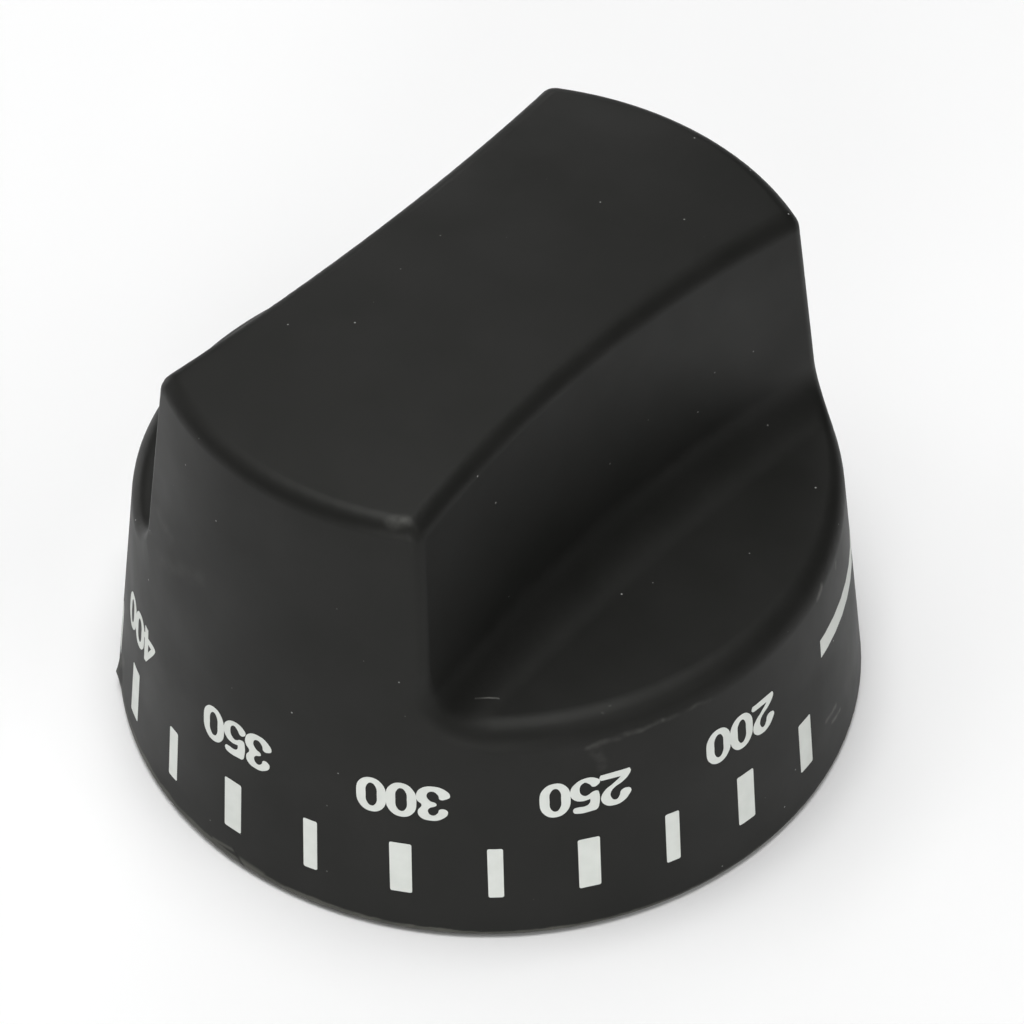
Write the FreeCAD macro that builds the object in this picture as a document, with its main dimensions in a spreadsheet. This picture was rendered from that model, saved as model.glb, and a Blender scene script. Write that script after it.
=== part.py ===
import FreeCAD, Part
import math
import os
import Sketcher

doc = FreeCAD.newDocument("oven_control_knob")

# Driving sizes: lengths in millimetres, angles in degrees
SIZES = [
    # outside of the moulding
    ("rim_diameter", 62.9),
    ("knob_height", 41.9),
    ("crown_radius", 290.0),
    ("skirt_draft", 6.9),
    ("rim_round", 0.7),
    ("scoop_floor_height", 21.3),
    ("grip_waist_width", 22.8),
    ("grip_flare_width", 28.7),
    ("flare_station", 30.0),
    ("grip_draft", 4.6),
    ("valley_waist_radius", 4.6),
    ("valley_flare_radius", 3.2),
    ("lip_round", 2.5),
    ("upright_round", 1.2),
    ("top_round", 1.7),
    # hollow underside
    ("skirt_wall", 3.0),
    ("scoop_floor_wall", 3.2),
    ("crown_wall", 3.6),
    ("grip_hollow_width", 14.6),
    ("grip_hollow_length", 45.0),
    ("rib_thickness", 2.4),
    ("rib_setback", 6.0),
    ("hub_diameter", 16.0),
    ("hub_setback", 2.0),
    # socket for the thermostat stem
    ("stem_diameter", 6.35),
    ("stem_across_flat", 4.76),
    ("stem_clearance", 0.075),
    ("socket_depth", 22.0),
    ("socket_lead_in", 0.5),
    # bent strip spring beside the flat of the stem
    ("clip_thickness", 0.4),
    ("clip_width", 4.0),
    ("clip_side_clearance", 0.15),
    ("clip_back_reach", 4.1),
    ("clip_foot_height", 3.0),
    ("clip_leg_length", 17.5),
    ("clip_bend_radius", 0.9),
    ("clip_lean", 3.0),
    ("clip_upper_length", 7.0),
    ("clip_crest_radius", 4.0),
    ("clip_flare", 4.0),
    ("clip_lower_length", 8.0),
    # how far cutting shapes run past the faces they open, and ribs run into walls
    ("overrun", 1.0),
]

sheet = doc.addObject("Spreadsheet::Sheet", "sizes")
for row, (alias, size) in enumerate(SIZES, start=1):
    sheet.set("A%d" % row, alias)
    sheet.set("B%d" % row, str(size))
    sheet.setAlias("B%d" % row, alias)
doc.recompute()

Z_AXIS = FreeCAD.Vector(0, 0, 1)

# Lengths that follow from the driving sizes
RIM_RADIUS = "sizes.rim_diameter / 2"
SKIRT_SLOPE = "tan(sizes.skirt_draft * 1 deg)"
GRIP_SLOPE = "tan(sizes.grip_draft * 1 deg)"
CUT_TOP = "(sizes.knob_height + sizes.overrun)"
HOLLOW_TOP = "(sizes.scoop_floor_height - sizes.scoop_floor_wall)"
GRIP_HOLLOW_TOP = "(sizes.knob_height - sizes.crown_wall)"
BORE_RADIUS = "(sizes.stem_diameter / 2 + sizes.stem_clearance)"
BORE_FLAT = "(sizes.stem_across_flat - sizes.stem_diameter / 2 + sizes.stem_clearance)"


def inner_radius(height):
    """Radius of the skirt's inner wall at a height, as an expression."""
    return "(%s - sizes.skirt_wall - (%s) * %s)" % (RIM_RADIUS, height, SKIRT_SLOPE)


def number(owner, expression):
    """The present value of an expression as a plain number."""
    result = owner.evalExpression(expression)
    return float(getattr(result, "Value", result))


def sketch_on(body, name, role, offset=None):
    """A sketch on an origin plane of the body, moved along the plane's normal."""
    sketch = body.newObject("Sketcher::SketchObject", name)
    plane = [item for item in body.Origin.OriginFeatures if item.Role == role][0]
    sketch.AttachmentSupport = [(plane, "")]
    sketch.MapMode = "FlatFace"
    if offset:
        sketch.setExpression("AttachmentOffset.Base.z", offset)
    return sketch


def bind(sketch, index, expression):
    """Let an expression drive one constraint of the sketch."""
    sketch.setExpression("Constraints[%d]" % index, expression)


def pin(sketch, curve, end, across, up):
    """Hold one end of a curve at a place measured from the sketch origin."""
    for kind, expression in (("DistanceX", across), ("DistanceY", up)):
        size = number(sketch, expression)
        index = sketch.addConstraint(Sketcher.Constraint(kind, -1, 1, curve, end, size))
        bind(sketch, index, expression)


def polygon(sketch, corners):
    """A closed outline of straight lines through corners given as expressions."""
    points = [FreeCAD.Vector(number(sketch, x), number(sketch, y), 0) for x, y in corners]
    lines = []
    for index, point in enumerate(points):
        following = points[(index + 1) % len(points)]
        lines.append(sketch.addGeometry(Part.LineSegment(point, following), False))
    for index, line in enumerate(lines):
        following = lines[(index + 1) % len(lines)]
        sketch.addConstraint(Sketcher.Constraint("Coincident", line, 2, following, 1))
    for line, (x, y) in zip(lines, corners):
        pin(sketch, line, 1, x, y)


def circle(sketch, radius):
    """A circle round the sketch origin."""
    size = number(sketch, radius)
    ring = sketch.addGeometry(Part.Circle(FreeCAD.Vector(), Z_AXIS, size), False)
    sketch.addConstraint(Sketcher.Constraint("Coincident", ring, 3, -1, 1))
    index = sketch.addConstraint(Sketcher.Constraint("Radius", ring, size))
    bind(sketch, index, radius)


def turned(body, kind, name, sketch):
    """A full turn of the sketch about its upright axis."""
    feature = body.newObject(kind, name)
    feature.Profile = sketch
    feature.ReferenceAxis = (sketch, ["V_Axis"])
    feature.Angle = 360
    doc.recompute()
    return feature


def raised(body, kind, name, sketch, length, upward=False, symmetric=False):
    """A pad or pocket of the sketch with its length driven by an expression."""
    feature = body.newObject(kind, name)
    feature.Profile = sketch
    feature.setExpression("Length", length)
    feature.Reversed = upward
    if symmetric:
        feature.SideType = "Symmetric"
    doc.recompute()
    return feature


def rounded(body, name, base, radius, wanted):
    """Round every edge of the base feature that the test picks."""
    names = []
    for index, edge in enumerate(base.Shape.Edges, start=1):
        if wanted(edge):
            names.append("Edge%d" % index)
    feature = body.newObject("PartDesign::Fillet", name)
    feature.Base = (base, names)
    feature.setExpression("Radius", radius)
    doc.recompute()
    return feature


# Knob body: a drafted round skirt that rises into a bar across the full width.
# The blank is turned and scooped out, its edges are rounded, then it is hollowed.
knob_blank = doc.addObject("PartDesign::Body", "knob_blank")

# The outline of the blank: rim, drafted side and a shallow dome on top
skirt_outline = sketch_on(knob_blank, "skirt_outline", "XZ_Plane")
RIM = number(skirt_outline, RIM_RADIUS)
HEIGHT = number(skirt_outline, "sizes.knob_height")
CROWN = number(skirt_outline, "sizes.crown_radius")
DRAFT = math.radians(number(skirt_outline, "sizes.skirt_draft"))
top_radius = RIM - HEIGHT * math.tan(DRAFT)
dome_start = math.acos(top_radius / CROWN)
dome_centre = FreeCAD.Vector(0, HEIGHT - CROWN, 0)
dome_edge = dome_centre + FreeCAD.Vector(math.cos(dome_start), math.sin(dome_start), 0) * CROWN
axis_foot = FreeCAD.Vector(0, 0, 0)
axis_head = FreeCAD.Vector(0, HEIGHT, 0)
rim_corner = FreeCAD.Vector(RIM, 0, 0)
dome_arc = Part.ArcOfCircle(Part.Circle(dome_centre, Z_AXIS, CROWN), dome_start, math.pi / 2)
base_line = skirt_outline.addGeometry(Part.LineSegment(axis_foot, rim_corner), False)
side_line = skirt_outline.addGeometry(Part.LineSegment(rim_corner, dome_edge), False)
dome = skirt_outline.addGeometry(dome_arc, False)
axis_line = skirt_outline.addGeometry(Part.LineSegment(axis_head, axis_foot), False)
skirt_outline.addConstraint(Sketcher.Constraint("Coincident", base_line, 2, side_line, 1))
skirt_outline.addConstraint(Sketcher.Constraint("Coincident", side_line, 2, dome, 1))
skirt_outline.addConstraint(Sketcher.Constraint("Coincident", dome, 2, axis_line, 1))
skirt_outline.addConstraint(Sketcher.Constraint("Coincident", axis_line, 2, base_line, 1))
pin(skirt_outline, base_line, 1, "0", "0")
pin(skirt_outline, base_line, 2, RIM_RADIUS, "0")
pin(skirt_outline, axis_line, 1, "0", "sizes.knob_height")
pin(skirt_outline, dome, 3, "0", "sizes.knob_height - sizes.crown_radius")
side_slope = skirt_outline.addConstraint(Sketcher.Constraint("Angle", side_line, math.pi / 2 + DRAFT))
bind(skirt_outline, side_slope, "(90 + sizes.skirt_draft) * 1 deg")
turned_blank = turned(knob_blank, "PartDesign::Revolution", "turned_blank", skirt_outline)


def scoop_section(name, station, width, valley):
    """Outline cut away beside the bar: leaning wall, hollow valley and level floor."""
    sketch = sketch_on(knob_blank, name, "XZ_Plane", station)
    wall_top = "(%s / 2 - sizes.overrun * %s)" % (width, GRIP_SLOPE)
    outer = "(%s + sizes.overrun)" % RIM_RADIUS
    floor = "sizes.scoop_floor_height"
    lean = math.radians(number(sketch, "sizes.grip_draft"))
    radius = number(sketch, valley)
    top = FreeCAD.Vector(number(sketch, wall_top), number(sketch, CUT_TOP), 0)
    floor_size = number(sketch, floor)
    outer_size = number(sketch, outer)
    # the valley's centre stands one radius from the wall and from the floor
    centre_up = floor_size + radius
    centre_across = top.x + (top.y - centre_up) * math.tan(lean) + radius / math.cos(lean)
    centre = FreeCAD.Vector(centre_across, centre_up, 0)
    meet_wall = centre - FreeCAD.Vector(math.cos(lean), math.sin(lean), 0) * radius
    meet_floor = centre - FreeCAD.Vector(0, radius, 0)
    low_corner = FreeCAD.Vector(outer_size, floor_size, 0)
    high_corner = FreeCAD.Vector(outer_size, top.y, 0)
    arc_circle = Part.Circle(centre, Z_AXIS, radius)
    wall = sketch.addGeometry(Part.LineSegment(top, meet_wall), False)
    curve = sketch.addGeometry(Part.ArcOfCircle(arc_circle, math.pi + lean, 1.5 * math.pi), False)
    level = sketch.addGeometry(Part.LineSegment(meet_floor, low_corner), False)
    side = sketch.addGeometry(Part.LineSegment(low_corner, high_corner), False)
    lid = sketch.addGeometry(Part.LineSegment(high_corner, top), False)
    sketch.addConstraint(Sketcher.Constraint("Tangent", wall, 2, curve, 1))
    sketch.addConstraint(Sketcher.Constraint("Tangent", curve, 2, level, 1))
    sketch.addConstraint(Sketcher.Constraint("Coincident", level, 2, side, 1))
    sketch.addConstraint(Sketcher.Constraint("Coincident", side, 2, lid, 1))
    sketch.addConstraint(Sketcher.Constraint("Coincident", lid, 2, wall, 1))
    sketch.addConstraint(Sketcher.Constraint("Horizontal", level))
    slope = sketch.addConstraint(Sketcher.Constraint("Angle", wall, lean - math.pi / 2))
    bind(sketch, slope, "(sizes.grip_draft - 90) * 1 deg")
    size = sketch.addConstraint(Sketcher.Constraint("Radius", curve, radius))
    bind(sketch, size, valley)
    pin(sketch, wall, 1, wall_top, CUT_TOP)
    pin(sketch, side, 1, outer, floor)
    pin(sketch, side, 2, outer, CUT_TOP)
    return sketch


# The bar is narrowest half way along and flares towards both ends
near_section = scoop_section("near_section", "sizes.flare_station", "sizes.grip_flare_width",
                             "sizes.valley_flare_radius")
waist_section = scoop_section("waist_section", "0", "sizes.grip_waist_width",
                              "sizes.valley_waist_radius")
far_section = scoop_section("far_section", "-sizes.flare_station", "sizes.grip_flare_width",
                            "sizes.valley_flare_radius")
doc.recompute()
scoop = knob_blank.newObject("PartDesign::SubtractiveLoft", "scoop")
scoop.Profile = near_section
scoop.Sections = [waist_section, far_section]
doc.recompute()
both_scoops = knob_blank.newObject("PartDesign::Mirrored", "both_scoops")
both_scoops.Originals = [scoop]
mirror_plane = [item for item in knob_blank.Origin.OriginFeatures if item.Role == "YZ_Plane"][0]
both_scoops.MirrorPlane = (mirror_plane, [""])
knob_blank.Tip = both_scoops
doc.recompute()

FLOOR = number(sheet, "scoop_floor_height")
LIP = number(sheet, "lip_round")
UPRIGHT = number(sheet, "upright_round")
TOP = number(sheet, "top_round")
CLOSE = 0.01


def on_skirt(point):
    """True where a point lies on the outer cone."""
    return abs(math.hypot(point.x, point.y) - (RIM - point.z * math.tan(DRAFT))) < CLOSE


def on_crown(point):
    """True where a point lies on the dome."""
    return abs(math.hypot(point.x, point.y, point.z - HEIGHT + CROWN) - CROWN) < CLOSE


def scoop_edge(edge):
    """Edges where a scoop breaks out through the outer cone."""
    middle = edge.valueAt((edge.FirstParameter + edge.LastParameter) / 2)
    return on_skirt(middle) and not on_crown(middle) and middle.z > FLOOR - CLOSE


def top_edge(edge):
    """Edges round the domed top of the bar."""
    return on_crown(edge.valueAt(edge.FirstParameter)) and on_crown(edge.valueAt(edge.LastParameter))


def rim_edge(edge):
    """The outer edge that the knob stands on."""
    return edge.BoundBox.ZMax < CLOSE and edge.BoundBox.XMax > RIM - CLOSE


def lip_radius(point):
    """The lip is full along the scoop floors and tight up the ends of the bar."""
    return LIP if point.z < FLOOR + CLOSE else UPRIGHT


# One rounding takes the lips and the top edges together, so that they blend at the corners
edge_rounds = []
for index, edge in enumerate(knob_blank.Shape.Edges, start=1):
    if scoop_edge(edge):
        first = lip_radius(edge.valueAt(edge.FirstParameter))
        last = lip_radius(edge.valueAt(edge.LastParameter))
        edge_rounds.append((index, first, last))
    elif top_edge(edge):
        edge_rounds.append((index, TOP, TOP))
rounded_blank = doc.addObject("Part::Fillet", "rounded_blank")
rounded_blank.Base = knob_blank
rounded_blank.Edges = edge_rounds
doc.recompute()

# The rounded blank goes on as the body that is hollowed from below
knob = doc.addObject("PartDesign::Body", "knob_body")
knob.BaseFeature = rounded_blank
doc.recompute()
rim = rounded(knob, "rim", knob.Group[0], "sizes.rim_round", rim_edge)

# Hollow under the skirt and inside the bar, which keeps the walls even
hollow_outline = sketch_on(knob, "hollow_outline", "XZ_Plane")
polygon(hollow_outline, [
    ("0", "-sizes.overrun"),
    (inner_radius("-sizes.overrun"), "-sizes.overrun"),
    (inner_radius(HOLLOW_TOP), HOLLOW_TOP),
    ("0", HOLLOW_TOP),
])
skirt_hollow = turned(knob, "PartDesign::Groove", "skirt_hollow", hollow_outline)

grip_hollow_outline = sketch_on(knob, "grip_hollow_outline", "XY_Plane",
                                "%s - sizes.overrun" % HOLLOW_TOP)
HALF_WIDTH = "sizes.grip_hollow_width / 2"
HALF_LENGTH = "sizes.grip_hollow_length / 2"
polygon(grip_hollow_outline, [
    ("-" + HALF_WIDTH, "-" + HALF_LENGTH),
    (HALF_WIDTH, "-" + HALF_LENGTH),
    (HALF_WIDTH, HALF_LENGTH),
    ("-" + HALF_WIDTH, HALF_LENGTH),
])
grip_hollow = raised(knob, "PartDesign::Pocket", "grip_hollow", grip_hollow_outline,
                     "%s - %s + sizes.overrun" % (GRIP_HOLLOW_TOP, HOLLOW_TOP), upward=True)

# Two crossed ribs tie the hub to the skirt; the one along the bar runs up inside it
RIB_FOOT = inner_radius("sizes.rib_setback") + " + sizes.overrun"
cross_rib_outline = sketch_on(knob, "cross_rib_outline", "XZ_Plane")
CROSS_RIB_HEAD = inner_radius(HOLLOW_TOP) + " + sizes.overrun"
polygon(cross_rib_outline, [
    ("-(%s)" % RIB_FOOT, "sizes.rib_setback"),
    (RIB_FOOT, "sizes.rib_setback"),
    (CROSS_RIB_HEAD, HOLLOW_TOP + " + sizes.overrun"),
    ("-(%s)" % CROSS_RIB_HEAD, HOLLOW_TOP + " + sizes.overrun"),
])
cross_rib = raised(knob, "PartDesign::Pad", "cross_rib", cross_rib_outline,
                   "sizes.rib_thickness", symmetric=True)

long_rib_outline = sketch_on(knob, "long_rib_outline", "YZ_Plane")
LONG_RIB_HEAD = inner_radius(GRIP_HOLLOW_TOP) + " + sizes.overrun"
polygon(long_rib_outline, [
    ("-(%s)" % RIB_FOOT, "sizes.rib_setback"),
    (RIB_FOOT, "sizes.rib_setback"),
    (LONG_RIB_HEAD, GRIP_HOLLOW_TOP + " + sizes.overrun"),
    ("-(%s)" % LONG_RIB_HEAD, GRIP_HOLLOW_TOP + " + sizes.overrun"),
])
long_rib = raised(knob, "PartDesign::Pad", "long_rib", long_rib_outline,
                  "sizes.rib_thickness", symmetric=True)

# Hub for the stem, with its mouth set back from the rim
hub_outline = sketch_on(knob, "hub_outline", "XY_Plane", "sizes.hub_setback")
circle(hub_outline, "sizes.hub_diameter / 2")
hub = raised(knob, "PartDesign::Pad", "hub", hub_outline,
             GRIP_HOLLOW_TOP + " + sizes.overrun - sizes.hub_setback")

# Socket with a flat, which turns the stem
socket_outline = sketch_on(knob, "socket_outline", "XY_Plane", "sizes.hub_setback")
BORE = number(socket_outline, BORE_RADIUS)
FLAT = number(socket_outline, BORE_FLAT)
flat_reach = math.sqrt(BORE ** 2 - FLAT ** 2)
flat_angle = math.atan2(flat_reach, FLAT)
bore_circle = Part.Circle(FreeCAD.Vector(), Z_AXIS, BORE)
bore_arc = Part.ArcOfCircle(bore_circle, flat_angle, 2 * math.pi - flat_angle)
arc = socket_outline.addGeometry(bore_arc, False)
flat_line = Part.LineSegment(FreeCAD.Vector(FLAT, -flat_reach, 0), FreeCAD.Vector(FLAT, flat_reach, 0))
flat = socket_outline.addGeometry(flat_line, False)
socket_outline.addConstraint(Sketcher.Constraint("Coincident", arc, 3, -1, 1))
socket_outline.addConstraint(Sketcher.Constraint("Coincident", arc, 2, flat, 1))
socket_outline.addConstraint(Sketcher.Constraint("Coincident", flat, 2, arc, 1))
socket_outline.addConstraint(Sketcher.Constraint("Vertical", flat))
bore_size = socket_outline.addConstraint(Sketcher.Constraint("Radius", arc, BORE))
bind(socket_outline, bore_size, BORE_RADIUS)
flat_place = socket_outline.addConstraint(Sketcher.Constraint("DistanceX", -1, 1, flat, 1, FLAT))
bind(socket_outline, flat_place, BORE_FLAT)
socket = raised(knob, "PartDesign::Pocket", "socket", socket_outline, "sizes.socket_depth",
                upward=True)

# Slot beside the socket that holds the spring clip
slot_outline = sketch_on(knob, "slot_outline", "XY_Plane", "sizes.hub_setback")
SLOT_HALF = "(sizes.clip_width / 2 + sizes.clip_side_clearance)"
polygon(slot_outline, [
    ("0", "-" + SLOT_HALF),
    ("sizes.clip_back_reach", "-" + SLOT_HALF),
    ("sizes.clip_back_reach", SLOT_HALF),
    ("0", SLOT_HALF),
])
clip_slot = raised(knob, "PartDesign::Pocket", "clip_slot", slot_outline, "sizes.socket_depth",
                   upward=True)

# Cone at the mouth that leads the stem and the clip in
lead_in_outline = sketch_on(knob, "lead_in_outline", "XZ_Plane")
LEAD_IN_TOP = "sizes.hub_setback + sizes.socket_lead_in"
polygon(lead_in_outline, [
    ("0", "sizes.hub_setback - sizes.overrun"),
    (BORE_RADIUS + " + sizes.socket_lead_in + sizes.overrun", "sizes.hub_setback - sizes.overrun"),
    (BORE_RADIUS, LEAD_IN_TOP),
    ("0", LEAD_IN_TOP),
])
lead_in = turned(knob, "PartDesign::Groove", "lead_in", lead_in_outline)
knob.Tip = lead_in

# Spring clip: a bent steel strip, one leg against the slot, one bowed at the stem
clip = doc.addObject("PartDesign::Body", "spring_clip")
strip_path = sketch_on(clip, "strip_path", "XZ_Plane")
LEG_PLACE = "(sizes.clip_back_reach - sizes.clip_thickness / 2)"
LEG_TOP = "(sizes.clip_foot_height + sizes.clip_leg_length)"
leg_across = number(strip_path, LEG_PLACE)
leg_foot = number(strip_path, "sizes.clip_foot_height")
leg_top = number(strip_path, LEG_TOP)
bend = number(strip_path, "sizes.clip_bend_radius")
lean = math.radians(number(strip_path, "sizes.clip_lean"))
flare = math.radians(number(strip_path, "sizes.clip_flare"))
upper = number(strip_path, "sizes.clip_upper_length")
lower = number(strip_path, "sizes.clip_lower_length")
crest = number(strip_path, "sizes.clip_crest_radius")
bend_centre = FreeCAD.Vector(leg_across - bend, leg_top, 0)
bend_end = bend_centre + FreeCAD.Vector(-math.cos(lean), math.sin(lean), 0) * bend
upper_end = bend_end + FreeCAD.Vector(-math.sin(lean), -math.cos(lean), 0) * upper
crest_centre = upper_end + FreeCAD.Vector(math.cos(lean), -math.sin(lean), 0) * crest
crest_end = crest_centre + FreeCAD.Vector(-math.cos(flare), -math.sin(flare), 0) * crest
lower_end = crest_end + FreeCAD.Vector(math.sin(flare), -math.cos(flare), 0) * lower
leg_line = Part.LineSegment(FreeCAD.Vector(leg_across, leg_foot, 0), FreeCAD.Vector(leg_across, leg_top, 0))
bend_arc = Part.ArcOfCircle(Part.Circle(bend_centre, Z_AXIS, bend), 0, math.pi - lean)
crest_arc = Part.ArcOfCircle(Part.Circle(crest_centre, Z_AXIS, crest), math.pi - lean, math.pi + flare)
back_leg = strip_path.addGeometry(leg_line, False)
fold = strip_path.addGeometry(bend_arc, False)
upper_leg = strip_path.addGeometry(Part.LineSegment(bend_end, upper_end), False)
bow = strip_path.addGeometry(crest_arc, False)
lower_leg = strip_path.addGeometry(Part.LineSegment(crest_end, lower_end), False)
strip_path.addConstraint(Sketcher.Constraint("Tangent", back_leg, 2, fold, 1))
strip_path.addConstraint(Sketcher.Constraint("Tangent", fold, 2, upper_leg, 1))
strip_path.addConstraint(Sketcher.Constraint("Tangent", upper_leg, 2, bow, 1))
strip_path.addConstraint(Sketcher.Constraint("Tangent", bow, 2, lower_leg, 1))
pin(strip_path, back_leg, 1, LEG_PLACE, "sizes.clip_foot_height")
pin(strip_path, back_leg, 2, LEG_PLACE, LEG_TOP)
STRIP_SIZES = [
    ("Radius", fold, bend, "sizes.clip_bend_radius"),
    ("Angle", upper_leg, -math.pi / 2 - lean, "(-90 - sizes.clip_lean) * 1 deg"),
    ("Distance", upper_leg, upper, "sizes.clip_upper_length"),
    ("Radius", bow, crest, "sizes.clip_crest_radius"),
    ("Angle", lower_leg, flare - math.pi / 2, "(sizes.clip_flare - 90) * 1 deg"),
    ("Distance", lower_leg, lower, "sizes.clip_lower_length"),
]
for kind, curve, size, expression in STRIP_SIZES:
    bind(strip_path, strip_path.addConstraint(Sketcher.Constraint(kind, curve, size)), expression)

strip_end = sketch_on(clip, "strip_end", "XY_Plane", "sizes.clip_foot_height")
STRIP_INNER = "(sizes.clip_back_reach - sizes.clip_thickness)"
STRIP_HALF = "sizes.clip_width / 2"
polygon(strip_end, [
    (STRIP_INNER, "-" + STRIP_HALF),
    ("sizes.clip_back_reach", "-" + STRIP_HALF),
    ("sizes.clip_back_reach", STRIP_HALF),
    (STRIP_INNER, STRIP_HALF),
])
strip = clip.newObject("PartDesign::AdditivePipe", "strip")
strip.Profile = strip_end
strip.Spine = (strip_path, [])
clip.Tip = strip
doc.recompute()

# Checks on every object, then one file for each piece
for item in doc.Objects:
    faults = [state for state in item.State if state in ("Invalid", "Error")]
    if faults:
        raise RuntimeError("%s is %s" % (item.Name, ", ".join(faults)))

os.makedirs("parts", exist_ok=True)
for piece in (knob, clip):
    if piece.Shape.isNull() or not piece.Shape.isValid():
        raise RuntimeError("%s has no valid shape" % piece.Label)
    piece.Shape.exportStep("parts/%s.step" % piece.Label)
    print(piece.Label, round(piece.Shape.Volume, 2), len(piece.Shape.Solids), piece.Shape.BoundBox)
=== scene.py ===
# Oven control knob: a black bar-grip knob with a printed temperature scale, standing on its rim.
import math
import bpy
from mathutils import Matrix, Vector


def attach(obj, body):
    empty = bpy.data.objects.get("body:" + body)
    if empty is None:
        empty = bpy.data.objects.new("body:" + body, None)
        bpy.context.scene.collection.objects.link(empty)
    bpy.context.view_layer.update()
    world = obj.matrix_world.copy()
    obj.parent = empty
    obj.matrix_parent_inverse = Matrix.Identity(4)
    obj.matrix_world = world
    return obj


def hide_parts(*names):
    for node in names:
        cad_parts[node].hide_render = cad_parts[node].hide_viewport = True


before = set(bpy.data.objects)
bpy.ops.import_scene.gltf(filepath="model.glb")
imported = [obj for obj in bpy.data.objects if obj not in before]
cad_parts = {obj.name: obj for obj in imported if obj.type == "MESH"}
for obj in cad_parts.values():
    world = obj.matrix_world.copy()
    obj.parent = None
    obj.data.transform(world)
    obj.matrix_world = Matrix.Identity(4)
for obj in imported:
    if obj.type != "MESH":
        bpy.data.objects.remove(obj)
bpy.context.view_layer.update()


# Knob body: the whole knob is one compression moulding in black phenolic, satin from the mould.
# It has been handled and set down often, so the face carries a few scuffs and specks of dust.
# The foot of the skirt is painted paler in a band, as painted reflection of the white floor.
millimetre = 0.001
knob_body = bpy.data.objects["knob_body"]
sharp_edge = math.radians(30.0)
seam_merge = 0.001 * millimetre


def pick_alone(piece):
    """Makes one piece the only one that is selected, and the active one."""
    bpy.ops.object.select_all(action="DESELECT")
    piece.select_set(True)
    bpy.context.view_layer.objects.active = piece


# A copy with its seams merged stands for the solid, so that light runs evenly round the skirt.
knob_moulding = knob_body.copy()
knob_moulding.data = knob_body.data.copy()
knob_moulding.name = "knob_moulding"
knob_moulding.data.name = "knob_moulding"
bpy.context.collection.objects.link(knob_moulding)
pick_alone(knob_moulding)
bpy.ops.object.mode_set(mode="EDIT")
bpy.ops.mesh.select_all(action="SELECT")
bpy.ops.mesh.remove_doubles(threshold=seam_merge)
bpy.ops.object.mode_set(mode="OBJECT")
bpy.ops.mesh.customdata_custom_splitnormals_clear()
bpy.ops.object.shade_smooth_by_angle(angle=sharp_edge, keep_sharp_edges=False)
even_light = knob_moulding.modifiers.new("even_light", "WEIGHTED_NORMAL")
even_light.keep_sharp = True
bpy.ops.object.modifier_apply(modifier="even_light")
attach(knob_moulding, "root")
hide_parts("knob_body")


def add_node(tree, kind, **values):
    """Adds a shader node and sets its own properties."""
    node = tree.nodes.new(kind)
    for name, value in values.items():
        setattr(node, name, value)
    return node


def start_material(name):
    """A new material with its Principled shader and the object's own coordinates."""
    material = bpy.data.materials.new(name)
    material.use_nodes = True
    tree = material.node_tree
    shader = tree.nodes["Principled BSDF"]
    place = add_node(tree, "ShaderNodeTexCoord").outputs["Object"]
    return material, tree, shader, place


def build_mottle_group():
    """Soft patches of lighter and darker tone, from 0 to 1, as moulded and printed surfaces show."""
    group = bpy.data.node_groups.new("mottle", "ShaderNodeTree")
    group.interface.new_socket("Place", in_out="INPUT", socket_type="NodeSocketVector")
    group.interface.new_socket("Scale", in_out="INPUT", socket_type="NodeSocketFloat")
    group.interface.new_socket("Low", in_out="INPUT", socket_type="NodeSocketFloat")
    group.interface.new_socket("High", in_out="INPUT", socket_type="NodeSocketFloat")
    group.interface.new_socket("Tone", in_out="OUTPUT", socket_type="NodeSocketFloat")
    given = add_node(group, "NodeGroupInput")
    made = add_node(group, "NodeGroupOutput")
    cloud = add_node(group, "ShaderNodeTexNoise")
    cloud.inputs["Detail"].default_value = 4.0
    spread = add_node(group, "ShaderNodeMapRange")
    spread.inputs["From Min"].default_value = 0.3
    spread.inputs["From Max"].default_value = 0.7
    group.links.new(given.outputs["Place"], cloud.inputs["Vector"])
    group.links.new(given.outputs["Scale"], cloud.inputs["Scale"])
    group.links.new(cloud.outputs["Fac"], spread.inputs["Value"])
    group.links.new(given.outputs["Low"], spread.inputs["To Min"])
    group.links.new(given.outputs["High"], spread.inputs["To Max"])
    group.links.new(spread.outputs["Result"], made.inputs["Tone"])
    return group


def mottle(tree, place, scale, low, high):
    """Places the mottle group and gives its tone."""
    node = add_node(tree, "ShaderNodeGroup", node_tree=mottle_group)
    tree.links.new(place, node.inputs["Place"])
    node.inputs["Scale"].default_value = scale
    node.inputs["Low"].default_value = low
    node.inputs["High"].default_value = high
    return node.outputs["Tone"]


def blend_colour(tree, amount, under, over):
    """Mixes two colours; each may be a plain colour or another node's output."""
    node = add_node(tree, "ShaderNodeMix", data_type="RGBA")
    tree.links.new(amount, node.inputs["Factor"])
    for value, socket in ((under, node.inputs["A"]), (over, node.inputs["B"])):
        if isinstance(value, tuple):
            socket.default_value = (*value, 1.0)
        else:
            tree.links.new(value, socket)
    return node.outputs["Result"]


def ramp(tree, value, start, end):
    """A value that rises smoothly from 0 at start to 1 at end."""
    node = add_node(tree, "ShaderNodeMapRange", interpolation_type="SMOOTHSTEP")
    tree.links.new(value, node.inputs["Value"])
    node.inputs["From Min"].default_value = start
    node.inputs["From Max"].default_value = end
    return node.outputs["Result"]


def combine(tree, operation, first, second):
    """A sum, product, highest or lowest of two values; the second may be a plain number."""
    node = add_node(tree, "ShaderNodeMath", operation=operation)
    tree.links.new(first, node.inputs[0])
    if isinstance(second, float):
        node.inputs[1].default_value = second
    else:
        tree.links.new(second, node.inputs[1])
    return node.outputs["Value"]


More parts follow.
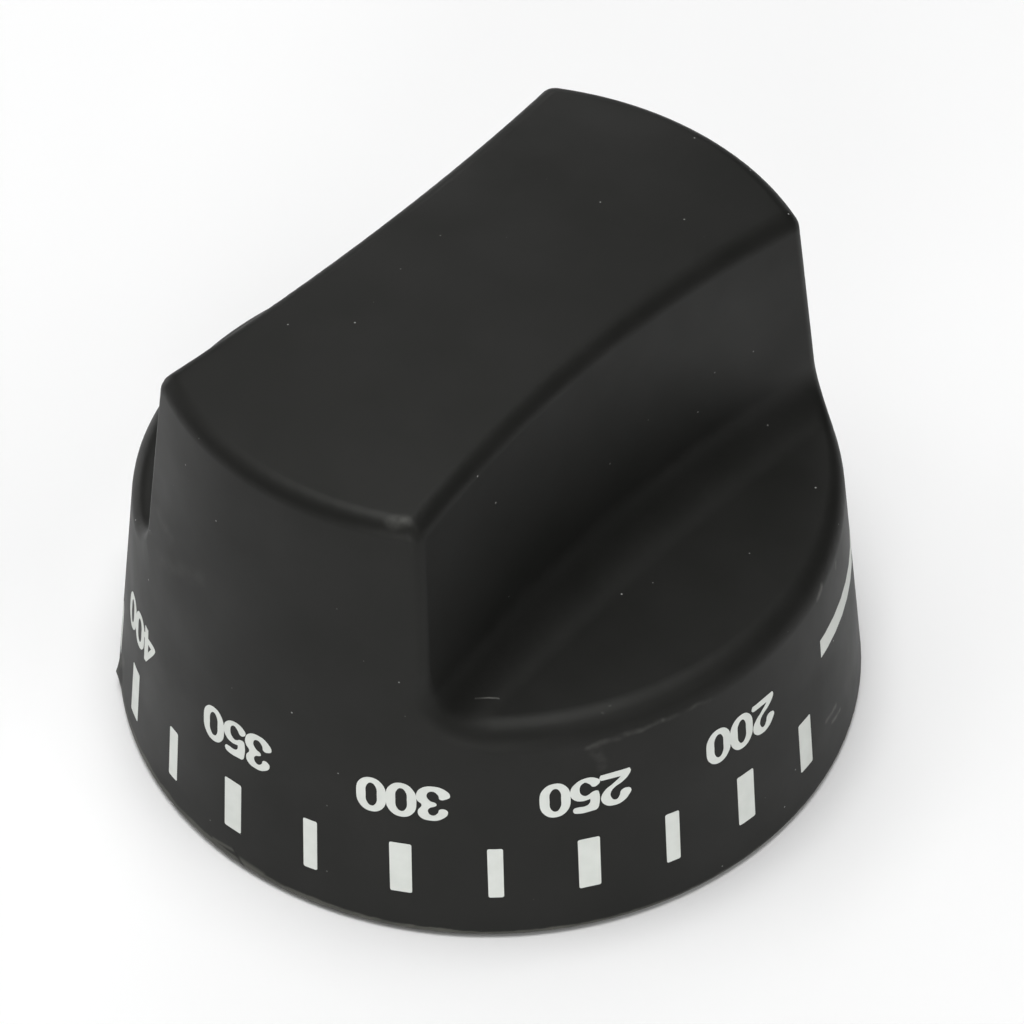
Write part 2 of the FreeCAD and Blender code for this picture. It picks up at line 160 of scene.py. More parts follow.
def build_mark_group():
    """A stroke, used for wear and for painted highlights and shadow: 1 along the line between two places,
    fading out at its half width.
    """
    group = bpy.data.node_groups.new("wear_and_painted_light_mark", "ShaderNodeTree")
    group.interface.new_socket("Place", in_out="INPUT", socket_type="NodeSocketVector")
    group.interface.new_socket("From", in_out="INPUT", socket_type="NodeSocketVector")
    group.interface.new_socket("To", in_out="INPUT", socket_type="NodeSocketVector")
    group.interface.new_socket("Half Width", in_out="INPUT", socket_type="NodeSocketFloat")
    group.interface.new_socket("Strength", in_out="INPUT", socket_type="NodeSocketFloat")
    group.interface.new_socket("Mask", in_out="OUTPUT", socket_type="NodeSocketFloat")
    given = add_node(group, "NodeGroupInput")
    made = add_node(group, "NodeGroupOutput")
    run = add_node(group, "ShaderNodeVectorMath", operation="SUBTRACT")
    group.links.new(given.outputs["To"], run.inputs[0])
    group.links.new(given.outputs["From"], run.inputs[1])
    reach = add_node(group, "ShaderNodeVectorMath", operation="SUBTRACT")
    group.links.new(given.outputs["Place"], reach.inputs[0])
    group.links.new(given.outputs["From"], reach.inputs[1])
    along = add_node(group, "ShaderNodeVectorMath", operation="DOT_PRODUCT")
    group.links.new(reach.outputs["Vector"], along.inputs[0])
    group.links.new(run.outputs["Vector"], along.inputs[1])
    whole = add_node(group, "ShaderNodeVectorMath", operation="DOT_PRODUCT")
    group.links.new(run.outputs["Vector"], whole.inputs[0])
    group.links.new(run.outputs["Vector"], whole.inputs[1])
    share = add_node(group, "ShaderNodeMath", operation="DIVIDE", use_clamp=True)
    group.links.new(along.outputs["Value"], share.inputs[0])
    group.links.new(whole.outputs["Value"], share.inputs[1])
    nearest = add_node(group, "ShaderNodeVectorMath", operation="SCALE")
    group.links.new(run.outputs["Vector"], nearest.inputs[0])
    group.links.new(share.outputs["Value"], nearest.inputs["Scale"])
    away = add_node(group, "ShaderNodeVectorMath", operation="DISTANCE")
    group.links.new(reach.outputs["Vector"], away.inputs[0])
    group.links.new(nearest.outputs["Vector"], away.inputs[1])
    fade = add_node(group, "ShaderNodeMapRange", interpolation_type="SMOOTHSTEP")
    fade.inputs["From Max"].default_value = 0.0
    group.links.new(away.outputs["Value"], fade.inputs["Value"])
    group.links.new(given.outputs["Half Width"], fade.inputs["From Min"])
    group.links.new(given.outputs["Strength"], fade.inputs["To Max"])
    group.links.new(fade.outputs["Result"], made.inputs["Mask"])
    return group


def wear_and_painted_light_mark(tree, place, start, end, half_width, strength):
    """Places one stroke, with its ends and half width in millimetres."""
    node = add_node(tree, "ShaderNodeGroup", node_tree=mark_group)
    tree.links.new(place, node.inputs["Place"])
    node.inputs["From"].default_value = [value * millimetre for value in start]
    node.inputs["To"].default_value = [value * millimetre for value in end]
    node.inputs["Half Width"].default_value = half_width * millimetre
    node.inputs["Strength"].default_value = strength
    return node.outputs["Mask"]


mottle_group = build_mottle_group()
mark_group = build_mark_group()

phenolic_dark = (0.0079, 0.0081, 0.0072)
phenolic_light = (0.0111, 0.0110, 0.0103)
# Pale grey for the foot band, painted reflection of the white floor, and for the wear at the knock.
floor_sheen_and_wear_grey = (0.080, 0.080, 0.069)
# Pale grey for scuffs and for painted highlights.
scuff_and_highlight_grey = (0.40, 0.40, 0.37)
# Near black for the painted shadow in a crack at the foot.
crack_shadow_black = (0.004, 0.004, 0.004)
dust_grey = (0.62, 0.62, 0.60)

phenolic, tree, shader, place = start_material("satin_black_phenolic")
shader.inputs["Specular IOR Level"].default_value = 0.20
shader.inputs["Specular Tint"].default_value = (0.99, 1.0, 0.955, 1.0)
patches = mottle(tree, place, scale=140.0, low=0.0, high=1.0)
tone = blend_colour(tree, patches, phenolic_dark, phenolic_light)

# The foot of the skirt is paler in an uneven band, wider towards the left: painted reflection of the white
# floor in the rounded foot, with a real bruise and scratch of wear in it.
parts = add_node(tree, "ShaderNodeSeparateXYZ")
tree.links.new(place, parts.inputs["Vector"])
slant = combine(tree, "MULTIPLY", parts.outputs["X"], 0.014)
band_height = combine(tree, "ADD", parts.outputs["Z"], slant)
uneven = mottle(tree, place, scale=520.0, low=-0.14 * millimetre, high=0.14 * millimetre)
band_height = combine(tree, "ADD", band_height, uneven)
# Painted reflection of the white floor: the pale band low on the foot.
floor_reflection_band = ramp(tree, band_height, 1.15 * millimetre, 0.95 * millimetre)
floor_reflection_breaks = mottle(tree, place, scale=420.0, low=0.55, high=1.0)
floor_sheen_and_wear = combine(tree, "MULTIPLY", floor_reflection_band, floor_reflection_breaks)
foot_bruise = wear_and_painted_light_mark(tree, place, (0.3, -31.3, 0.95), (2.6, -31.2, 0.85), 0.55, 0.95)
floor_sheen_and_wear = combine(tree, "MAXIMUM", floor_sheen_and_wear, foot_bruise)
foot_scratch = wear_and_painted_light_mark(tree, place, (-2.8, -31.2, 1.15), (-0.4, -31.2, 1.55), 0.30, 0.8)
floor_sheen_and_wear = combine(tree, "MAXIMUM", floor_sheen_and_wear, foot_scratch)
tone = blend_colour(tree, floor_sheen_and_wear, tone, floor_sheen_and_wear_grey)
# Painted shadow: a dark line across the foot band, the shade inside a crack at the knock.
crack_shadow_line = wear_and_painted_light_mark(tree, place, (-0.5, -31.2, 1.75), (0.8, -31.3, 0.25), 0.28, 1.0)
tone = blend_colour(tree, crack_shadow_line, tone, crack_shadow_black)

# Scratches and scuffs from handling, and two painted highlights among them, waver a little and break up along
# their length.
waver_reach = 0.7 * millimetre
wander = add_node(tree, "ShaderNodeTexNoise")
wander.inputs["Scale"].default_value = 480.0
tree.links.new(place, wander.inputs["Vector"])
centred = add_node(tree, "ShaderNodeVectorMath", operation="SUBTRACT")
tree.links.new(wander.outputs["Color"], centred.inputs[0])
centred.inputs[1].default_value = (0.5, 0.5, 0.5)
waver = add_node(tree, "ShaderNodeVectorMath", operation="SCALE")
tree.links.new(centred.outputs["Vector"], waver.inputs[0])
waver.inputs["Scale"].default_value = waver_reach
wavering = add_node(tree, "ShaderNodeVectorMath", operation="ADD")
tree.links.new(place, wavering.inputs[0])
tree.links.new(waver.outputs["Vector"], wavering.inputs[1])
stroke_place = wavering.outputs["Vector"]

# Each stroke: where it starts and ends, its half width and its strength.
scuffs_and_highlights = (
    ((16.0, -20.1, 21.9), (17.05, -18.6, 21.4), 0.12, 0.30),
    ((23.8, -14.3, 21.05), (23.9, -14.2, 21.0), 0.16, 0.16),
    ((23.8, -13.6, 21.2), (23.85, -13.5, 21.2), 0.13, 0.15),
    ((24.1, -16.4, 18.9), (25.65, -13.75, 19.3), 0.42, 0.085),
    ((25.65, -13.75, 19.3), (27.0, -10.8, 19.4), 0.36, 0.080),
    ((27.0, -10.8, 19.4), (28.35, -6.6, 19.2), 0.32, 0.055),
    ((24.5, -15.9, 18.4), (25.0, -15.6, 16.8), 0.80, 0.07),
    ((29.8, 7.3, 6.1), (29.25, 9.4, 5.8), 0.34, 0.24),
    ((29.7, 8.4, 4.95), (29.15, 10.2, 4.5), 0.34, 0.20),
    ((26.7, 11.7, 19.1), (26.8, 11.6, 18.6), 0.25, 0.32),
    ((28.1, 7.4, 19.4), (27.8, 8.35, 19.75), 0.45, 0.27),
    ((-12.0, -25.4, 27.7), (-10.1, -26.2, 27.4), 1.20, 0.045),
    ((-11.7, -26.1, 23.6), (-5.65, -27.6, 26.8), 1.20, 0.035),
    # Painted highlight: a soft pale spot at the near right corner of the top.
    ((11.1, -23.5, 40.5), (11.6, -22.95, 40.7), 0.90, 0.12),
    ((-20.9, -23.4, 3.1), (-19.7, -23.8, 4.2), 0.80, 0.12),
    # Painted highlight: a soft pale patch on the foot burr, which also lifts its shaded side.
    ((-21.4, -23.4, 1.6), (-21.2, -23.2, 2.2), 1.20, 0.20),
)
breaks = mottle(tree, place, scale=900.0, low=0.1, high=1.0)
for start, end, half_width, strength in scuffs_and_highlights:
    stroke = wear_and_painted_light_mark(tree, stroke_place, start, end, half_width, strength)
    stroke = combine(tree, "MULTIPLY", stroke, breaks)
    tone = blend_colour(tree, stroke, tone, scuff_and_highlight_grey)

# Fine specks of dust lie all over, most of them faint.
specks = add_node(tree, "ShaderNodeTexVoronoi")
specks.inputs["Scale"].default_value = 420.0
tree.links.new(place, specks.inputs["Vector"])
speck = ramp(tree, specks.outputs["Distance"], 0.042, 0.016)
faintness = mottle(tree, place, scale=260.0, low=0.05, high=0.8)
speck = combine(tree, "MULTIPLY", speck, faintness)
tone = blend_colour(tree, speck, tone, dust_grey)
tree.links.new(tone, shader.inputs["Base Color"])

# The satin face is a little glossier where it has been handled.
handled = mottle(tree, place, scale=120.0, low=0.45, high=0.56)
tree.links.new(handled, shader.inputs["Roughness"])
grain = add_node(tree, "ShaderNodeTexNoise")
grain.inputs["Scale"].default_value = 2600.0
grain.inputs["Detail"].default_value = 2.0
tree.links.new(place, grain.inputs["Vector"])
bump = add_node(tree, "ShaderNodeBump")
bump.inputs["Strength"].default_value = 0.12
bump.inputs["Distance"].default_value = 0.02 * millimetre
tree.links.new(grain.outputs["Fac"], bump.inputs["Height"])
tree.links.new(bump.outputs["Normal"], shader.inputs["Normal"])
knob_body.material_slots[0].material = phenolic
knob_moulding.material_slots[0].material = phenolic


# Foot burr: a low pointed lump of the same moulding compound, pushed up where the skirt took a knock.
# It is on the left of the skirt, just above the foot. A thin patch laid on the skirt
# is drawn out to a point.
burr_angle = math.radians(-42.5)
burr_radius = 31.2 * millimetre
burr_middle = 2.2 * millimetre
burr_half_size = 2.05 * millimetre
burr_peak = 1.7 * millimetre
burr_rise = 0.45 * millimetre
burr_reach = 2.2 * millimetre
burr_sunk = 0.03 * millimetre
burr_thickness = 0.25 * millimetre
burr_cells = 32

bpy.ops.object.select_all(action="DESELECT")
bpy.ops.mesh.primitive_grid_add(x_subdivisions=burr_cells, y_subdivisions=burr_cells, size=2 * burr_half_size)
foot_burr = bpy.context.object
foot_burr.name = "foot_burr"
foot_burr.data.name = "foot_burr"
outwards = Vector((math.sin(burr_angle), -math.cos(burr_angle), 0.0))
burr_place = burr_radius * outwards + Vector((0.0, 0.0, burr_middle))
facing_out = outwards.to_track_quat("Z", "Y").to_matrix().to_4x4()
foot_burr.matrix_world = Matrix.Translation(burr_place) @ facing_out
bpy.ops.object.transform_apply(location=True, rotation=True, scale=True)
wrap = foot_burr.modifiers.new("wrap", "SHRINKWRAP")
wrap.target = knob_body
wrap.wrap_method = "NEAREST_SURFACEPOINT"
wrap.wrap_mode = "ABOVE_SURFACE"
wrap.offset = -burr_sunk
bpy.ops.object.modifier_apply(modifier="wrap")
peak_place = burr_radius * outwards + Vector((0.0, 0.0, burr_peak))
bpy.ops.object.mode_set(mode="EDIT")
bpy.ops.mesh.select_mode(type="VERT")
bpy.ops.mesh.select_all(action="DESELECT")
bpy.ops.object.mode_set(mode="OBJECT")
nearest = min(foot_burr.data.vertices, key=lambda corner: (corner.co - peak_place).length)
nearest.select = True
bpy.ops.object.mode_set(mode="EDIT")
bpy.ops.transform.translate(
    value=burr_rise * outwards, use_proportional_edit=True, proportional_edit_falloff="SHARP",
    proportional_size=burr_reach,
)
bpy.ops.object.mode_set(mode="OBJECT")
body = foot_burr.modifiers.new("body", "SOLIDIFY")
body.thickness = burr_thickness
body.offset = -1.0
bpy.ops.object.modifier_apply(modifier="body")
bpy.ops.object.mode_set(mode="EDIT")
bpy.ops.mesh.select_all(action="SELECT")
bpy.ops.mesh.normals_make_consistent(inside=False)
bpy.ops.object.mode_set(mode="OBJECT")
bpy.ops.object.shade_smooth_by_angle(angle=sharp_edge)
foot_burr.data.materials.append(phenolic)
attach(foot_burr, "root")


# Spring clip: a bent strip of plain spring steel, pushed into the slot beside the stem socket.
# It is out of sight from above; rolling has left fine lines along the strip.
spring_clip = bpy.data.objects["spring_clip"]
steel_bright = (0.56, 0.55, 0.53)
steel_dull = (0.38, 0.37, 0.36)

steel, tree, shader, place = start_material("rolled_spring_steel")
shader.inputs["Metallic"].default_value = 1.0
along = add_node(tree, "ShaderNodeMapping")
along.inputs["Scale"].default_value = (1.0, 12.0, 0.6)
tree.links.new(place, along.inputs["Vector"])
rolled = along.outputs["Vector"]
rolled_lines = mottle(tree, rolled, scale=600.0, low=0.0, high=1.0)
tone = blend_colour(tree, rolled_lines, steel_dull, steel_bright)
tree.links.new(tone, shader.inputs["Base Color"])
rolled_sheen = mottle(tree, rolled, scale=900.0, low=0.28, high=0.45)
tree.links.new(rolled_sheen, shader.inputs["Roughness"])
spring_clip.material_slots[0].material = steel


# Scale ticks: short bars screen-printed on the skirt in off-white ink, one for every 25 degrees.
# Every second one is wide and carries a figure. The print sits a little askew on the moulding.
rim_radius = 31.45 * millimetre
skirt_draft = math.radians(6.9)
print_middle = 5.634 * millimetre
print_tilt = math.radians(2.69)
print_high_side = math.radians(58.0)
tick_height = 5.15 * millimetre
wide_tick = 1.8 * millimetre
narrow_tick = 1.25 * millimetre
tick_corner = 0.16 * millimetre
ink_rise = 0.02 * millimetre
print_merge = 0.004 * millimetre
ink_thickness = 0.05 * millimetre
ink_pale = (0.73, 0.755, 0.715)
ink_grey = (0.68, 0.705, 0.665)
ticks = (
    (-88.2, wide_tick), (-73.9, narrow_tick), (-59.6, wide_tick), (-45.3, narrow_tick),
    (-30.8, wide_tick), (-15.9, narrow_tick), (-1.4, wide_tick), (13.0, narrow_tick),
    (27.4, wide_tick), (41.5, narrow_tick), (55.5, wide_tick), (68.9, narrow_tick),
    (82.6, wide_tick), (97.1, wide_tick),
)


def skirt_place(angle, rise, turn):
    """Where a flat print goes: round the skirt by angle, above the middle of the ticks by rise."""
    radius = rim_radius - (print_middle + rise) * math.tan(skirt_draft)
    tilt_axis = Vector((-math.cos(print_high_side), -math.sin(print_high_side), 0.0))
    askew = Matrix.Rotation(print_tilt, 4, tilt_axis)
    lift = Matrix.Translation((0.0, 0.0, print_middle))
    round_skirt = Matrix.Rotation(angle, 4, "Z")
    outwards = Matrix.Translation((0.0, -radius, rise))
    lean = Matrix.Rotation(math.pi / 2 - skirt_draft, 4, "X")
    return lift @ askew @ round_skirt @ outwards @ lean @ Matrix.Rotation(turn, 4, "Z")


def settle(piece, matrix):
    """Moves a piece to its place and applies that to the mesh."""
    pick_alone(piece)
    piece.matrix_world = matrix
    bpy.ops.object.transform_apply(location=True, rotation=True, scale=True)


def slice_across(piece, width, step):
    """Cuts a flat print into upright strips, so that it can follow the round of the skirt."""
    pick_alone(piece)
    bpy.ops.object.mode_set(mode="EDIT")
    cut = -width
    while cut < width:
        bpy.ops.mesh.select_all(action="SELECT")
        bpy.ops.mesh.bisect(plane_co=(cut, 0.0, 0.0), plane_no=(1.0, 0.0, 0.0))
        cut += step
    bpy.ops.mesh.select_all(action="SELECT")
    bpy.ops.mesh.remove_doubles(threshold=print_merge)
    bpy.ops.mesh.dissolve_degenerate(threshold=print_merge)
    bpy.ops.object.mode_set(mode="OBJECT")


def join_prints(name, prints):
    """Joins the separate prints of one kind into one piece."""
    bpy.ops.object.select_all(action="DESELECT")
    for item in prints:
        item.select_set(True)
    bpy.context.view_layer.objects.active = prints[0]
    bpy.ops.object.join()
    piece = bpy.context.view_layer.objects.active
    piece.name = name
    piece.data.name = name
    return piece


def press_onto_skirt(piece):
    """Lays a print on the skirt and gives the ink its thickness."""
    pick_alone(piece)
    wrap = piece.modifiers.new("wrap", "SHRINKWRAP")
    wrap.target = knob_body
    wrap.wrap_method = "NEAREST_SURFACEPOINT"
    wrap.wrap_mode = "ABOVE_SURFACE"
    wrap.offset = ink_rise
    bpy.ops.object.modifier_apply(modifier="wrap")
    layer = piece.modifiers.new("layer", "SOLIDIFY")
    layer.thickness = ink_thickness
    layer.offset = -1.0
    bpy.ops.object.modifier_apply(modifier="layer")
    bpy.ops.object.mode_set(mode="EDIT")
    bpy.ops.mesh.select_all(action="SELECT")
    bpy.ops.mesh.normals_make_consistent(inside=False)
    bpy.ops.object.mode_set(mode="OBJECT")
    piece.data.materials.clear()
    piece.data.materials.append(ink)
    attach(piece, "root")


def print_tick(width):
    """One flat tick, with the soft corners that a screen print has."""
    bpy.ops.object.select_all(action="DESELECT")
    bpy.ops.mesh.primitive_plane_add(size=1.0)
    tick = bpy.context.object
    tick.scale = (width, tick_height, 1.0)
    bpy.ops.object.transform_apply(location=True, rotation=True, scale=True)
    bpy.ops.object.mode_set(mode="EDIT")
    bpy.ops.mesh.select_all(action="SELECT")
    bpy.ops.mesh.bevel(offset=tick_corner, segments=3, affect="VERTICES")
    bpy.ops.object.mode_set(mode="OBJECT")
    slice_across(tick, width / 2, width / 4)
    return tick


ink, tree, shader, place = start_material("off_white_ink")
shader.inputs["Specular IOR Level"].default_value = 0.35
ink_cover = mottle(tree, place, scale=700.0, low=0.0, high=1.0)
tone = blend_colour(tree, ink_cover, ink_grey, ink_pale)
tree.links.new(tone, shader.inputs["Base Color"])
ink_sheen = mottle(tree, place, scale=1500.0, low=0.42, high=0.6)
tree.links.new(ink_sheen, shader.inputs["Roughness"])

printed_ticks = []
for tick_angle, tick_width in ticks:
    tick = print_tick(tick_width)
    settle(tick, skirt_place(math.radians(tick_angle), 0.0, 0.0))
    printed_ticks.append(tick)
scale_ticks = join_prints("scale_ticks", printed_ticks)
press_onto_skirt(scale_ticks)


# Scale figures: bold round figures printed above every wide tick, with their tops towards the rim,
# so that they read upright from the front of the oven. Each is drawn as a filled outline.
figure_rise = 7.1 * millimetre
figure_height = 3.52
figure_gap = -0.04
figure_radius = 29.75
figure_groups = (
    (-88.3, "500"), (-59.7, "450"), (-30.0, "400"), (-0.95, "350"), (27.9, "300"), (55.35, "250"),
    (82.45, "200"),
)
# Each outline goes round once, in millimetres from its lower left corner; c marks a sharp corner.
figure_outlines = {
    "0": (2.44, (
        ((0.0, 1.75), (0.34, 3.06), (1.22, 3.5), (2.1, 3.06), (2.44, 1.75), (2.1, 0.44), (1.22, 0.0),
         (0.34, 0.44)),
        ((0.75, 1.73), (0.87, 0.81), (1.21, 0.535), (1.55, 0.81), (1.67, 1.73), (1.55, 2.65),
         (1.21, 2.925), (0.87, 2.65)),
    )),
    "2": (2.56, (
        ((0.02, 2.22), (0.24, 2.83), (0.76, 3.32), (1.41, 3.48), (2.18, 3.2), (2.5, 2.44),
         (2.13, 1.67), (1.58, 1.28), (1.08, 0.89), (0.8, 0.63, "c"), (2.41, 0.61, "c"), (2.56, 0.44),
         (2.47, 0.06, "c"), (0.1, 0.0, "c"), (0.0, 0.28), (0.24, 0.78), (0.69, 1.22), (1.36, 1.61),
         (1.67, 2.0), (1.69, 2.5), (1.3, 2.94), (0.97, 2.61), (0.83, 2.14), (0.4, 1.98)),
    )),
    "3": (2.67, (
        ((0.18, 2.58), (0.7, 3.3), (1.59, 3.53), (2.35, 3.28), (2.56, 2.67), (2.24, 1.95),
         (2.58, 1.55), (2.67, 1.06), (2.3, 0.3), (1.31, -0.02), (0.4, 0.25), (0.0, 0.91), (0.26, 1.17),
         (0.78, 1.26), (0.92, 0.83), (1.4, 0.49), (1.83, 0.91), (1.53, 1.53), (1.14, 1.67),
         (1.06, 1.89), (1.2, 2.02), (1.59, 2.22), (1.76, 2.61), (1.42, 3.0), (0.98, 2.72),
         (0.83, 2.33), (0.42, 2.28)),
    )),
    "4": (2.5, (
        ((0.0, 0.97), (1.8, 3.5, "c"), (2.28, 3.56, "c"), (2.3, 1.36, "c"), (2.5, 1.3), (2.5, 0.86),
         (2.3, 0.82, "c"), (2.33, 0.0, "c"), (1.6, 0.0, "c"), (1.56, 0.82, "c"), (0.1, 0.82)),
        ((0.86, 1.4, "c"), (1.5, 1.4, "c"), (1.5, 2.3, "c")),
    )),
    "5": (2.41, (
        ((2.19, 3.33), (2.16, 2.96), (1.9, 2.88), (1.13, 2.87), (0.86, 2.61), (0.82, 2.22, "c"),
         (1.47, 2.31), (2.14, 2.0), (2.41, 1.28), (2.0, 0.38), (1.08, 0.0), (0.3, 0.2), (0.0, 0.56),
         (0.19, 0.91), (0.58, 1.02), (0.86, 0.67), (1.3, 0.44), (1.66, 1.22), (1.24, 1.83),
         (0.97, 1.78), (0.58, 1.53), (0.19, 1.53), (0.11, 1.72), (0.11, 2.89), (0.3, 3.4), (0.7, 3.5),
         (1.9, 3.5)),
    )),
}


def draw_figure(outlines, width):
    """One flat figure, filled from its outlines, with its middle at the origin."""
    drawing = bpy.data.curves.new("figure", "CURVE")
    drawing.dimensions = "2D"
    drawing.fill_mode = "BOTH"
    drawing.resolution_u = 5
    for outline in outlines:
        line = drawing.splines.new("BEZIER")
        line.bezier_points.add(len(outline) - 1)
        line.use_cyclic_u = True
        for knot, mark in zip(line.bezier_points, outline):
            knot.co = (mark[0] - width / 2, mark[1] - figure_height / 2, 0.0)
            handle = "VECTOR" if len(mark) == 3 else "AUTO"
            knot.handle_left_type = handle
            knot.handle_right_type = handle
    figure = bpy.data.objects.new("figure", drawing)
    bpy.context.collection.objects.link(figure)
    pick_alone(figure)
    bpy.ops.object.convert(target="MESH")
    figure = bpy.context.view_layer.objects.active
    settle(figure, Matrix.Scale(millimetre, 4))
    slice_across(figure, width / 2 * millimetre, 0.35 * millimetre)
    return figure


drawn_figures = {}
for sign, (width, outlines) in figure_outlines.items():
    drawn_figures[sign] = draw_figure(outlines, width)

printed_figures = []
for group_angle, signs in figure_groups:
    widths = [figure_outlines[sign][0] for sign in signs]
    reach = sum(widths) + figure_gap * (len(signs) - 1)
    start = reach / 2
    for sign, width in zip(signs, widths):
        figure = drawn_figures[sign].copy()
        figure.data = drawn_figures[sign].data.copy()
        bpy.context.collection.objects.link(figure)
        angle = math.radians(group_angle) + (start - width / 2) / figure_radius
        settle(figure, skirt_place(angle, figure_rise, math.pi))
        printed_figures.append(figure)
        start -= width + figure_gap
for figure in drawn_figures.values():
    bpy.data.objects.remove(figure)
scale_figures = join_prints("scale_figures", printed_figures)
press_onto_skirt(scale_figures)


# Scale line: a plain band of the same ink that starts after the last tick and runs on round the
# skirt, at the height of the figures. An upright edge is spun about the axis of the knob.
line_rise = 7.38 * millimetre
line_thickness = 1.79 * millimetre
line_start = math.radians(103.6)
line_reach = math.radians(46.4)
line_steps = 60

bpy.ops.object.select_all(action="DESELECT")
bpy.ops.mesh.primitive_plane_add(size=1.0)
scale_line = bpy.context.object
scale_line.name = "scale_line"
scale_line.data.name = "scale_line"
bpy.ops.object.mode_set(mode="EDIT")
bpy.ops.mesh.select_all(action="DESELECT")
bpy.ops.object.mode_set(mode="OBJECT")
for corner in scale_line.data.vertices:
    corner.select = corner.co.x > 0
bpy.ops.object.mode_set(mode="EDIT")
bpy.ops.mesh.delete(type="VERT")
bpy.ops.mesh.select_all(action="SELECT")
bpy.ops.transform.translate(value=(0.5, 0.0, 0.0))
bpy.ops.transform.resize(value=(1.0, line_thickness, 1.0))
bpy.ops.object.mode_set(mode="OBJECT")
settle(scale_line, Matrix.Rotation(math.pi / 2 - skirt_draft, 4, "X"))
line_radius = rim_radius - (print_middle + line_rise) * math.tan(skirt_draft)
line_place = Matrix.Translation((0.0, -line_radius, line_rise))
settle(scale_line, Matrix.Rotation(line_start, 4, "Z") @ line_place)
bpy.ops.object.mode_set(mode="EDIT")
bpy.ops.mesh.select_all(action="SELECT")
bpy.ops.mesh.spin(steps=line_steps, angle=-line_reach, center=(0.0, 0.0, 0.0), axis=(0.0, 0.0, 1.0))
bpy.ops.object.mode_set(mode="OBJECT")
tilt_axis = Vector((-math.cos(print_high_side), -math.sin(print_high_side), 0.0))
askew = Matrix.Rotation(print_tilt, 4, tilt_axis)
settle(scale_line, Matrix.Translation((0.0, 0.0, print_middle)) @ askew)
press_onto_skirt(scale_line)


# Floor: a plain white sheet that the knob stands on. From below it lets the view through, and it is
# open under the knob, inside the foot, so that light reaches the hollow side too.
floor_reach = 4.0
floor_opening = 29.0 * millimetre
floor_drop = 0.02 * millimetre
floor_corners = 96
bpy.ops.object.select_all(action="DESELECT")
bpy.ops.mesh.primitive_circle_add(
    vertices=floor_corners, radius=floor_opening, location=(0.0, 0.0, -floor_drop),
)
floor = bpy.context.object
floor.name = "floor"
bpy.ops.object.transform_apply(location=True, rotation=True, scale=True)
bpy.ops.object.mode_set(mode="EDIT")
bpy.ops.mesh.select_all(action="SELECT")
bpy.ops.mesh.extrude_edges_move()
spread = floor_reach / floor_opening
bpy.ops.transform.resize(value=(spread, spread, 1.0))
bpy.ops.mesh.select_all(action="SELECT")
bpy.ops.mesh.normals_make_consistent(inside=False)
bpy.ops.object.mode_set(mode="OBJECT")
if floor.data.polygons[0].normal.z < 0.0:
    bpy.ops.object.mode_set(mode="EDIT")
    bpy.ops.mesh.flip_normals()
    bpy.ops.object.mode_set(mode="OBJECT")
floor_white = (0.97, 0.97, 0.97)
floor_grey = (0.96, 0.96, 0.96)
floor_sheet, tree, shader, place = start_material("white_sheet")
shader.inputs["Roughness"].default_value = 0.9
shader.inputs["Specular IOR Level"].default_value = 0.0
sheet_patches = mottle(tree, place, scale=30.0, low=0.0, high=1.0)
tone = blend_colour(tree, sheet_patches, floor_grey, floor_white)
tree.links.new(tone, shader.inputs["Base Color"])
clear = add_node(tree, "ShaderNodeBsdfTransparent")
from_below = add_node(tree, "ShaderNodeNewGeometry").outputs["Backfacing"]
sides = add_node(tree, "ShaderNodeMixShader")
tree.links.new(from_below, sides.inputs["Fac"])
tree.links.new(shader.outputs["BSDF"], sides.inputs[1])
tree.links.new(clear.outputs["BSDF"], sides.inputs[2])
tree.links.new(sides.outputs["Shader"], tree.nodes["Material Output"].inputs["Surface"])
floor.data.materials.append(floor_sheet)


# Lights: large soft discs, each a metre from the knob, brightest above and in front of it.
# One more under the floor shines through its opening into the hollow side.
knob_middle = Vector((0.0, 0.0, 0.02))


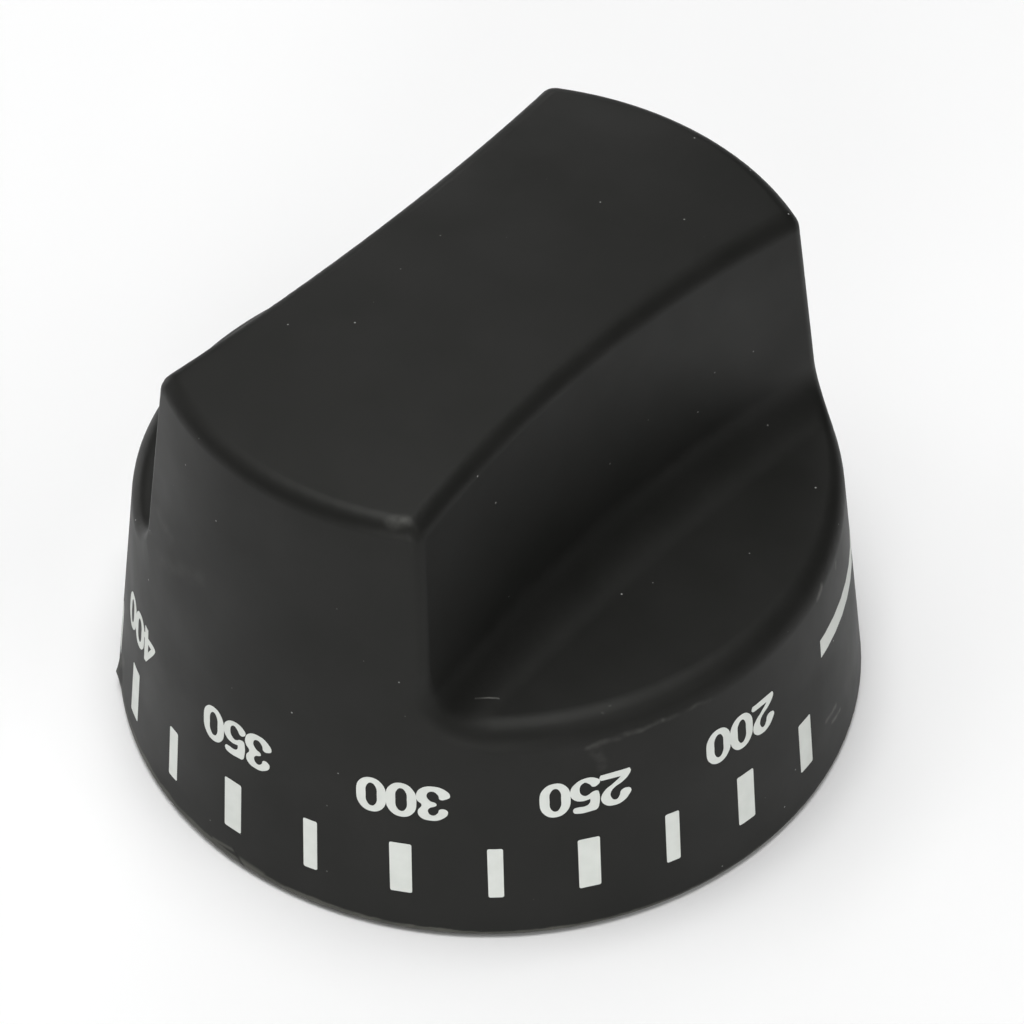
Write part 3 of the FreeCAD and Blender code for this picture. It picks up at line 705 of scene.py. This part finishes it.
def soft_disc(name, round_angle, rise_angle, width, power):
    """A soft light that faces the knob; the round angle starts at the near end of the grip."""
    lamp = bpy.data.lights.new(name, "AREA")
    lamp.shape = "DISK"
    lamp.size = width
    lamp.energy = power
    panel = bpy.data.objects.new(name, lamp)
    turn = math.radians(round_angle)
    rise = math.radians(rise_angle)
    towards = Vector((math.sin(turn) * math.cos(rise), -math.cos(turn) * math.cos(rise), math.sin(rise)))
    panel.location = knob_middle + towards
    panel.rotation_euler = (-towards).to_track_quat("-Z", "Y").to_euler()
    panel.visible_camera = False
    bpy.context.collection.objects.link(panel)


# Each disc: its name, its angle round the knob and its angle up, its width in metres and its power in watts.
soft_disc("disc_above", 0.0, 90.0, 0.60, 6.45)
soft_disc("disc_front_low", 30.0, 8.0, 0.42, 3.93)
soft_disc("disc_right", 90.0, 45.0, 0.55, 1.28)
soft_disc("disc_right_low", 90.0, 8.0, 0.42, 0.58)
soft_disc("disc_left_near", 315.0, 45.0, 0.55, 0.79)
soft_disc("disc_left_front", 300.0, 66.0, 0.55, 1.25)
soft_disc("disc_left_back", 240.0, 66.0, 0.55, 1.04)
soft_disc("disc_left_low", 270.0, 8.0, 0.42, 1.06)
soft_disc("disc_back", 225.0, 25.0, 0.45, 0.97)
soft_disc("disc_below", 0.0, -90.0, 0.60, 7.0)

room_grey = 0.004
world = bpy.data.worlds.new("dim_room")
world.use_nodes = True
sky = world.node_tree.nodes["Background"]
sky.inputs["Color"].default_value = (1.0, 1.0, 1.0, 1.0)
sky.inputs["Strength"].default_value = room_grey
bpy.context.scene.world = world
bpy.context.scene.view_settings.view_transform = "Standard"


# Camera: looks down on the near end of the grip from the right, at the distance of a long lens.
camera_place = (0.16012, -0.18354, 0.26041)
camera_pan = math.radians(40.6533)
camera_look_down = math.radians(44.9603)
camera_roll = math.radians(-0.3647)
focal_length = 147.656
film_width = 36.0
lens = bpy.data.cameras.new("camera")
lens.lens = focal_length
lens.sensor_width = film_width
lens.clip_start = 0.01
lens.clip_end = 50.0
camera = bpy.data.objects.new("camera", lens)
bpy.context.collection.objects.link(camera)
pan = Matrix.Rotation(camera_pan, 4, "Z")
look_down = Matrix.Rotation(camera_look_down, 4, "X")
roll = Matrix.Rotation(camera_roll, 4, "Z")
camera.matrix_world = Matrix.Translation(camera_place) @ pan @ look_down @ roll
bpy.context.scene.camera = camera
